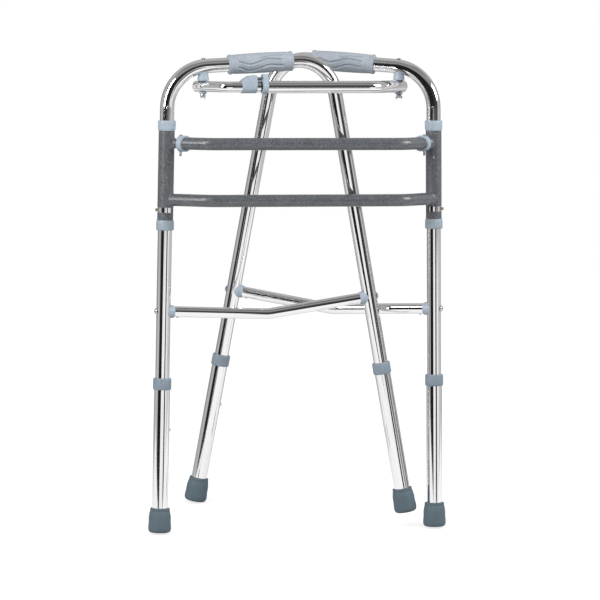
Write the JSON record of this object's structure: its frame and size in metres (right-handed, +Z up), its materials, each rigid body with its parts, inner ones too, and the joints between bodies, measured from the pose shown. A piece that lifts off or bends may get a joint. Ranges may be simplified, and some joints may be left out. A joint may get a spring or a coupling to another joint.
{
  "type": "reciprocal walker",
  "caption": "Folding reciprocal walking frame: a cross frame of sleeves and bars with two hinged side frames, telescopic legs, hand grips and a locking link, stored almost folded.",
  "frame": {"origin": "floor, under the middle of the bounding box", "axes": "+Z up, -Y the front of the cross frame, +X to the right seen from the front"},
  "size_m": [0.5402, 0.2722, 0.8407],
  "materials": {
    "chromed_tube": "polished chrome plate",
    "grey_hammered_paint": "hammered grey stove enamel, semi-gloss",
    "blue_grey_plastic": "moulded nylon, satin",
    "grip_vinyl": "soft vinyl with waved grooves",
    "tip_rubber": "matt rubber",
    "zinc_steel": "bright zinc plate",
    "brass_pin": "yellow passivated pin"
  },
  "bodies": {
    "cross_frame": {"left_sleeve": "grey_hammered_paint", "left_upper_bush": "blue_grey_plastic", "left_lower_bush": "blue_grey_plastic", "left_bar_block": "blue_grey_plastic", "left_bar_pin": "zinc_steel", "right_sleeve": "grey_hammered_paint", "right_upper_bush": "blue_grey_plastic", "right_lower_bush": "blue_grey_plastic", "right_bar_block": "blue_grey_plastic", "right_bar_pin": "zinc_steel", "upper_crossbar": "grey_hammered_paint", "lower_crossbar": "grey_hammered_paint"},
    "left_side_frame": {"left_frame_tube": "chromed_tube", "left_grip": "grip_vinyl", "left_brace": "chromed_tube", "left_front_saddle": "blue_grey_plastic", "left_rear_saddle": "blue_grey_plastic", "left_front_brace_bolt": "zinc_steel", "left_rear_brace_bolt": "zinc_steel", "left_link_spacer": "blue_grey_plastic", "left_link_bolt": "zinc_steel", "left_link_nut": "zinc_steel", "left_slot_pin": "brass_pin"},
    "right_side_frame": {"right_frame_tube": "chromed_tube", "right_grip": "grip_vinyl", "right_brace": "chromed_tube", "right_front_saddle": "blue_grey_plastic", "right_rear_saddle": "blue_grey_plastic", "right_front_brace_bolt": "zinc_steel", "right_rear_brace_bolt": "zinc_steel", "right_link_spacer": "blue_grey_plastic", "right_link_bolt": "zinc_steel", "right_link_nut": "zinc_steel", "right_slot_pin": "brass_pin"},
    "front_left_lower_leg": {"front_left_lower_tube": "chromed_tube", "front_left_collar": "blue_grey_plastic", "front_left_tip": "tip_rubber"},
    "front_left_button": {"front_left_snap_button": "zinc_steel"},
    "rear_right_lower_leg": {"rear_right_lower_tube": "chromed_tube", "rear_right_collar": "blue_grey_plastic", "rear_right_tip": "tip_rubber"},
    "rear_right_button": {"rear_right_snap_button": "zinc_steel"},
    "rear_left_lower_leg": {"rear_left_lower_tube": "chromed_tube", "rear_left_collar": "blue_grey_plastic", "rear_left_tip": "tip_rubber"},
    "rear_left_button": {"rear_left_snap_button": "zinc_steel"},
    "front_right_lower_leg": {"front_right_lower_tube": "chromed_tube", "front_right_collar": "blue_grey_plastic", "front_right_tip": "tip_rubber"},
    "front_right_button": {"front_right_snap_button": "zinc_steel"},
    "link_inner_arm": {"link_inner_tube": "chromed_tube", "left_link_washer": "blue_grey_plastic"},
    "link_outer_arm": {"link_outer_tube": "chromed_tube", "link_ring": "blue_grey_plastic", "right_link_washer": "blue_grey_plastic"},
    "link_latch": {"link_latch": "blue_grey_plastic"}
  },
  "joints": [
    {"name": "right_frame_swing", "type": "hinge", "parent": "cross_frame", "child": "right_side_frame", "pos_m": [0.25009, -0.11647, 0.00208], "axis": [0.0127, -0.117, -0.9931], "range_deg": [0, 85]},
    {"name": "left_frame_swing", "type": "hinge", "parent": "cross_frame", "child": "left_side_frame", "pos_m": [-0.24991, -0.11647, 0.00208], "axis": [0.0127, 0.117, 0.9931], "range_deg": [0, 64.1]},
    {"name": "link_inner_turn", "type": "hinge", "parent": "left_side_frame", "child": "link_inner_arm", "pos_m": [-0.17645, -0.02386, 0.7788], "axis": [0.0127, 0.117, 0.9931], "range_deg": [-69.1, 0]},
    {"name": "link_outer_turn", "type": "hinge", "parent": "right_side_frame", "child": "link_outer_arm", "pos_m": [0.18512, 0.00659, 0.77533], "axis": [-0.0127, 0.117, 0.9931], "range_deg": [0, 80.1]},
    {"name": "link_latch_slide", "type": "slide", "parent": "link_inner_arm", "child": "link_latch", "axis": [-0.9953, -0.0958, 0.011], "range_m": [0, 0.012]},
    {"name": "front_left_leg_slide", "type": "slide", "parent": "left_side_frame", "child": "front_left_lower_leg", "axis": [0.0127, 0.117, 0.9931], "range_m": [0, 0.1]},
    {"name": "rear_right_leg_slide", "type": "slide", "parent": "left_side_frame", "child": "rear_right_lower_leg", "axis": [-0.1808, 0.1117, 0.9771], "range_m": [0, 0.1]},
    {"name": "rear_left_leg_slide", "type": "slide", "parent": "right_side_frame", "child": "rear_left_lower_leg", "axis": [0.155, 0.019, 0.9877], "range_m": [0, 0.1]},
    {"name": "front_right_leg_slide", "type": "slide", "parent": "right_side_frame", "child": "front_right_lower_leg", "axis": [-0.0127, 0.117, 0.9931], "range_m": [0, 0.1]},
    {"name": "front_left_button_push", "type": "slide", "parent": "left_side_frame", "child": "front_left_button", "axis": [-0.9743, 0.2249, -0.014], "range_m": [0, 0.004], "stiffness_N_per_m": 2000, "deforming": ["front_left_snap_button"]},
    {"name": "rear_right_button_push", "type": "slide", "parent": "left_side_frame", "child": "rear_right_button", "axis": [0.0003, -0.9935, 0.1136], "range_m": [0, 0.004], "stiffness_N_per_m": 2000, "deforming": ["rear_right_snap_button"]},
    {"name": "rear_left_button_push", "type": "slide", "parent": "right_side_frame", "child": "rear_left_button", "axis": [-0.961, 0.2346, 0.1463], "range_m": [0, 0.004], "stiffness_N_per_m": 2000, "deforming": ["rear_left_snap_button"]},
    {"name": "front_right_button_push", "type": "slide", "parent": "right_side_frame", "child": "front_right_button", "axis": [0, -0.9931, 0.117], "range_m": [0, 0.004], "stiffness_N_per_m": 2000, "deforming": ["front_right_snap_button"]}
  ],
  "couplings": [
    {"joint": "left_frame_swing", "follows": "right_frame_swing", "ratio": 0.75294},
    {"joint": "link_inner_turn", "follows": "right_frame_swing", "ratio": -0.81218},
    {"joint": "link_outer_turn", "follows": "right_frame_swing", "ratio": 0.94144}
  ]
}
